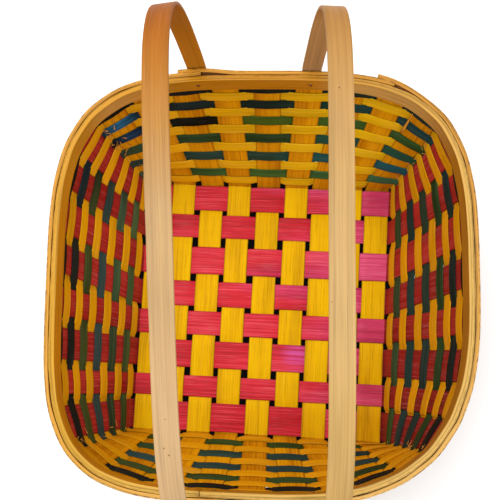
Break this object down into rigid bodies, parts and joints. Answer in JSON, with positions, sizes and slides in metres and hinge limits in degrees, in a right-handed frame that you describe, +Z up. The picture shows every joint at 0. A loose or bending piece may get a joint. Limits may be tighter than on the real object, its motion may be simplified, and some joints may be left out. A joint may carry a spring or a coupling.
{
  "type": "bamboo basket",
  "caption": "Open square splint basket with plain-woven floor and flared walls, a double rim hoop and two strap handles side by side.",
  "frame": {"origin": "middle of the outline at the floor's underside", "axes": "+Z up, +X to the right along the crosswise splints, +Y to the back along the handles"},
  "size_m": [0.2818, 0.2964, 0.1936],
  "materials": {
    "splint_yellow": "dyed satin bamboo",
    "splint_red": "dyed glossy bamboo",
    "weaver_yellow": "dyed satin bamboo",
    "weaver_green": "dyed satin bamboo",
    "weaver_teal": "dyed satin bamboo",
    "weaver_olive": "dyed satin bamboo",
    "weaver_dark": "dyed satin bamboo",
    "rim_bamboo": "lacquered split bamboo",
    "handle_bamboo": "lacquered split bamboo",
    "nail_steel": "dull"
  },
  "bodies": {
    "root": {"lengthwise_splint_1": "splint_yellow", "lengthwise_splint_2": "splint_yellow", "lengthwise_splint_3": "splint_yellow", "lengthwise_splint_4": "splint_yellow", "lengthwise_splint_5": "splint_yellow", "lengthwise_splint_6": "splint_yellow", "lengthwise_splint_7": "splint_yellow", "lengthwise_splint_8": "splint_yellow", "lengthwise_splint_9": "splint_yellow", "crosswise_splint_1": "splint_red", "crosswise_splint_2": "splint_red", "crosswise_splint_3": "splint_red", "crosswise_splint_4": "splint_red", "crosswise_splint_5": "splint_red", "crosswise_splint_6": "splint_red", "crosswise_splint_7": "splint_red", "crosswise_splint_8": "splint_red", "weaver_01": "weaver_yellow", "weaver_02": "weaver_green", "weaver_03": "weaver_yellow", "weaver_04": "weaver_teal", "weaver_05": "weaver_yellow", "weaver_06": "weaver_green", "weaver_07": "weaver_yellow", "weaver_08": "weaver_olive", "weaver_09": "weaver_yellow", "weaver_10": "weaver_dark", "weaver_11": "weaver_yellow", "weaver_12": "weaver_dark", "inner_rim_hoop": "rim_bamboo", "outer_rim_hoop": "rim_bamboo", "outer_rim_back_strip": "rim_bamboo", "left_handle": "handle_bamboo", "right_handle": "handle_bamboo", "nail_left_back": "nail_steel", "nail_left_front": "nail_steel", "nail_right_back": "nail_steel", "nail_right_front": "nail_steel"}
  },
  "joints": []
}
